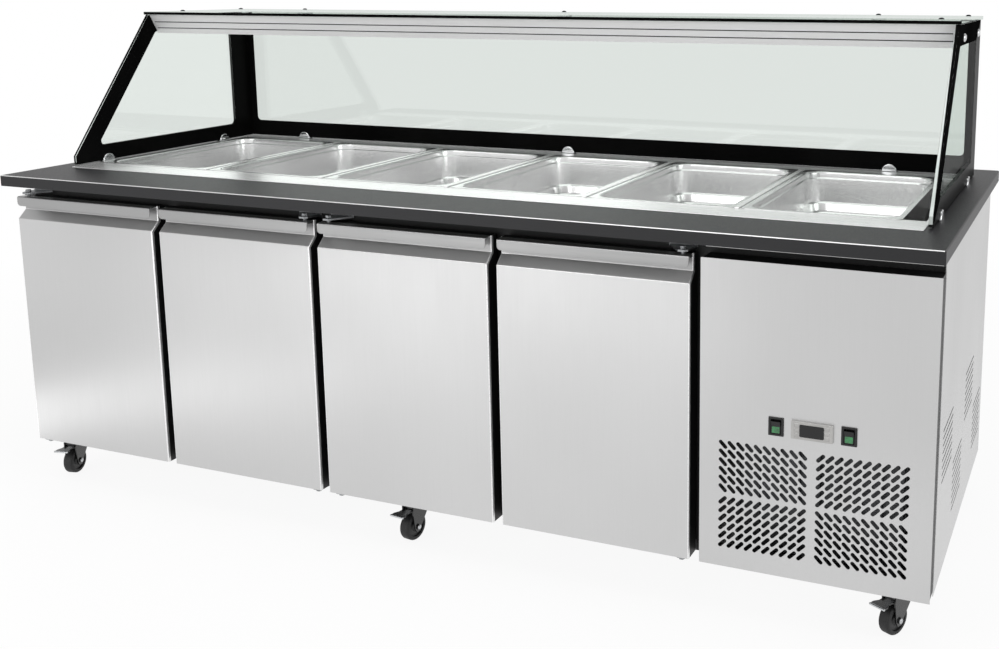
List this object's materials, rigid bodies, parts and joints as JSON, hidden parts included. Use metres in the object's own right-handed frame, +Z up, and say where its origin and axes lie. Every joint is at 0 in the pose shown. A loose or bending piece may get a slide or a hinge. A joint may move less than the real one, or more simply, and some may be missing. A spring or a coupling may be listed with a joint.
{
  "type": "refrigerated serving counter",
  "caption": "Long stainless chilled counter on castors with hinged doors, a row of food pans in the top, a raked glass canopy and a machine compartment with a punched grille.",
  "frame": {"origin": "on the floor under the middle of the worktop", "axes": "+X along the length towards the machine compartment, the doors face -Y, +Z up"},
  "size_m": [2.2, 0.93, 1.151],
  "materials": {
    "stainless_steel": "satin",
    "black_moulding": "matte",
    "worktop": "satin",
    "glass": "clear",
    "chrome": "polished",
    "aluminium": "satin",
    "diffuser": "frosted",
    "wheel": "matte",
    "black_steel": "satin",
    "plated_steel": "plated",
    "green_rocker": "translucent",
    "coil": "dull",
    "controller": "satin"
  },
  "bodies": {
    "cabinet": {"cabinet_base": "stainless_steel", "left_end_panel": "stainless_steel", "cabinet_back": "stainless_steel", "machine_bulkhead": "stainless_steel", "front_frame": "black_moulding", "machine_front_panel": "stainless_steel", "machine_panel_surround": "black_moulding", "machine_side_panel": "stainless_steel", "machine_rear_panel": "stainless_steel", "temperature_controller": "controller", "switch_bezels": "black_moulding", "worktop": "worktop", "pan_frame": "stainless_steel", "pan_dividers": "stainless_steel", "left_glass": "glass", "right_glass": "glass", "back_glass": "glass", "top_glass": "glass", "light_rail": "aluminium", "light_tube": "diffuser", "glass_fixings": "chrome", "hinge_brackets": "plated_steel", "castor_plates": "plated_steel", "compressor": "black_steel", "condenser": "coil", "evaporator": "coil", "shelf_set": "stainless_steel"},
    "door_1": {"door_1_skin": "stainless_steel", "door_1_core": "black_moulding"},
    "door_2": {"door_2_skin": "stainless_steel", "door_2_core": "black_moulding"},
    "door_3": {"door_3_skin": "stainless_steel", "door_3_core": "black_moulding"},
    "door_4": {"door_4_skin": "stainless_steel", "door_4_core": "black_moulding"},
    "pan_1": {"pan_1": "stainless_steel"},
    "pan_2": {"pan_2": "stainless_steel"},
    "pan_3": {"pan_3": "stainless_steel"},
    "pan_4": {"pan_4": "stainless_steel"},
    "pan_5": {"pan_5": "stainless_steel"},
    "pan_6": {"pan_6": "stainless_steel"},
    "left_rocker": {"left_rocker": "green_rocker"},
    "right_rocker": {"right_rocker": "green_rocker"},
    "condenser_fan": {"condenser_fan": "black_moulding"},
    "evaporator_fan": {"evaporator_fan": "black_moulding"},
    "castor_1_fork": {"castor_1_fork": "black_steel"},
    "castor_1_wheel": {"castor_1_wheel": "wheel"},
    "castor_1_pedal": {"castor_1_pedal": "black_steel"},
    "castor_2_fork": {"castor_2_fork": "black_steel"},
    "castor_2_wheel": {"castor_2_wheel": "wheel"},
    "castor_2_pedal": {"castor_2_pedal": "black_steel"},
    "castor_3_fork": {"castor_3_fork": "black_steel"},
    "castor_3_wheel": {"castor_3_wheel": "wheel"},
    "castor_3_pedal": {"castor_3_pedal": "black_steel"},
    "castor_4_fork": {"castor_4_fork": "black_steel"},
    "castor_4_wheel": {"castor_4_wheel": "wheel"},
    "castor_5_fork": {"castor_5_fork": "black_steel"},
    "castor_5_wheel": {"castor_5_wheel": "wheel"},
    "castor_6_fork": {"castor_6_fork": "black_steel"},
    "castor_6_wheel": {"castor_6_wheel": "wheel"}
  },
  "joints": [
    {"name": "door_1_hinge", "type": "hinge", "parent": "cabinet", "child": "door_1", "pos_m": [-1.0725, -0.415, 0.106], "axis": [0, 0, -1], "range_deg": [0, 90]},
    {"name": "door_2_hinge", "type": "hinge", "parent": "cabinet", "child": "door_2", "pos_m": [-0.2645, -0.415, 0.106], "axis": [0, 0, 1], "range_deg": [0, 90]},
    {"name": "door_3_hinge", "type": "hinge", "parent": "cabinet", "child": "door_3", "pos_m": [-0.2025, -0.415, 0.106], "axis": [0, 0, -1], "range_deg": [0, 90]},
    {"name": "door_4_hinge", "type": "hinge", "parent": "cabinet", "child": "door_4", "pos_m": [0.6055, -0.415, 0.106], "axis": [0, 0, 1], "range_deg": [0, 90]},
    {"name": "pan_1_lift", "type": "slide", "parent": "cabinet", "child": "pan_1", "axis": [0, 0, 1], "range_m": [0, 0.16]},
    {"name": "pan_2_lift", "type": "slide", "parent": "cabinet", "child": "pan_2", "axis": [0, 0, 1], "range_m": [0, 0.16]},
    {"name": "pan_3_lift", "type": "slide", "parent": "cabinet", "child": "pan_3", "axis": [0, 0, 1], "range_m": [0, 0.16]},
    {"name": "pan_4_lift", "type": "slide", "parent": "cabinet", "child": "pan_4", "axis": [0, 0, 1], "range_m": [0, 0.16]},
    {"name": "pan_5_lift", "type": "slide", "parent": "cabinet", "child": "pan_5", "axis": [0, 0, 1], "range_m": [0, 0.16]},
    {"name": "pan_6_lift", "type": "slide", "parent": "cabinet", "child": "pan_6", "axis": [0, 0, 1], "range_m": [0, 0.16]},
    {"name": "left_rocker_tilt", "type": "hinge", "parent": "cabinet", "child": "left_rocker", "pos_m": [0.7985, -0.431, 0.4055], "axis": [1, 0, 0], "range_deg": [-16, 0]},
    {"name": "right_rocker_tilt", "type": "hinge", "parent": "cabinet", "child": "right_rocker", "pos_m": [0.9365, -0.431, 0.4055], "axis": [1, 0, 0], "range_deg": [-16, 0]},
    {"name": "condenser_fan_spin", "type": "hinge", "parent": "cabinet", "child": "condenser_fan", "pos_m": [0.8675, -0.291, 0.248], "axis": [0, 1, 0], "continuous": true},
    {"name": "evaporator_fan_spin", "type": "hinge", "parent": "cabinet", "child": "evaporator_fan", "pos_m": [0, 0.238, 0.585], "axis": [0, 1, 0], "continuous": true},
    {"name": "castor_1_swivel", "type": "hinge", "parent": "cabinet", "child": "castor_1_fork", "pos_m": [-1.0545, -0.348, 0.1], "axis": [0, 0, 1], "continuous": true},
    {"name": "castor_1_roll", "type": "hinge", "parent": "castor_1_fork", "child": "castor_1_wheel", "pos_m": [-1.04888, -0.37236, 0.0315], "axis": [0.9744, 0.225, 0], "continuous": true},
    {"name": "castor_1_brake", "type": "hinge", "parent": "castor_1_fork", "child": "castor_1_pedal", "pos_m": [-1.04663, -0.3821, 0.0705], "axis": [0.9744, 0.225, 0], "range_deg": [0, 12]},
    {"name": "castor_2_swivel", "type": "hinge", "parent": "cabinet", "child": "castor_2_fork", "pos_m": [-0.045, -0.348, 0.1], "axis": [0, 0, 1], "continuous": true},
    {"name": "castor_2_roll", "type": "hinge", "parent": "castor_2_fork", "child": "castor_2_wheel", "pos_m": [-0.04848, -0.37276, 0.0315], "axis": [0.9903, -0.1392, 0], "continuous": true},
    {"name": "castor_2_brake", "type": "hinge", "parent": "castor_2_fork", "child": "castor_2_pedal", "pos_m": [-0.04987, -0.38266, 0.0705], "axis": [0.9903, -0.1392, 0], "range_deg": [0, 12]},
    {"name": "castor_3_swivel", "type": "hinge", "parent": "cabinet", "child": "castor_3_fork", "pos_m": [1.0285, -0.348, 0.1], "axis": [0, 0, 1], "continuous": true},
    {"name": "castor_3_roll", "type": "hinge", "parent": "castor_3_fork", "child": "castor_3_wheel", "pos_m": [1.01715, -0.37028, 0.0315], "axis": [0.891, -0.454, 0], "continuous": true},
    {"name": "castor_3_brake", "type": "hinge", "parent": "castor_3_fork", "child": "castor_3_pedal", "pos_m": [1.01261, -0.37918, 0.0705], "axis": [0.891, -0.454, 0], "range_deg": [0, 12]},
    {"name": "castor_4_swivel", "type": "hinge", "parent": "cabinet", "child": "castor_4_fork", "pos_m": [-1.0545, 0.293, 0.1], "axis": [0, 0, 1], "continuous": true},
    {"name": "castor_4_roll", "type": "hinge", "parent": "castor_4_fork", "child": "castor_4_wheel", "pos_m": [-1.04595, 0.31649, 0.0315], "axis": [-0.9397, 0.342, 0], "continuous": true},
    {"name": "castor_5_swivel", "type": "hinge", "parent": "cabinet", "child": "castor_5_fork", "pos_m": [-0.045, 0.293, 0.1], "axis": [0, 0, 1], "continuous": true},
    {"name": "castor_5_roll", "type": "hinge", "parent": "castor_5_fork", "child": "castor_5_wheel", "pos_m": [-0.04934, 0.31762, 0.0315], "axis": [-0.9848, -0.1736, 0], "continuous": true},
    {"name": "castor_6_swivel", "type": "hinge", "parent": "cabinet", "child": "castor_6_fork", "pos_m": [1.0285, 0.293, 0.1], "axis": [0, 0, 1], "continuous": true},
    {"name": "castor_6_roll", "type": "hinge", "parent": "castor_6_fork", "child": "castor_6_wheel", "pos_m": [1.03068, 0.3179, 0.0315], "axis": [-0.9962, 0.0872, 0], "continuous": true}
  ]
}
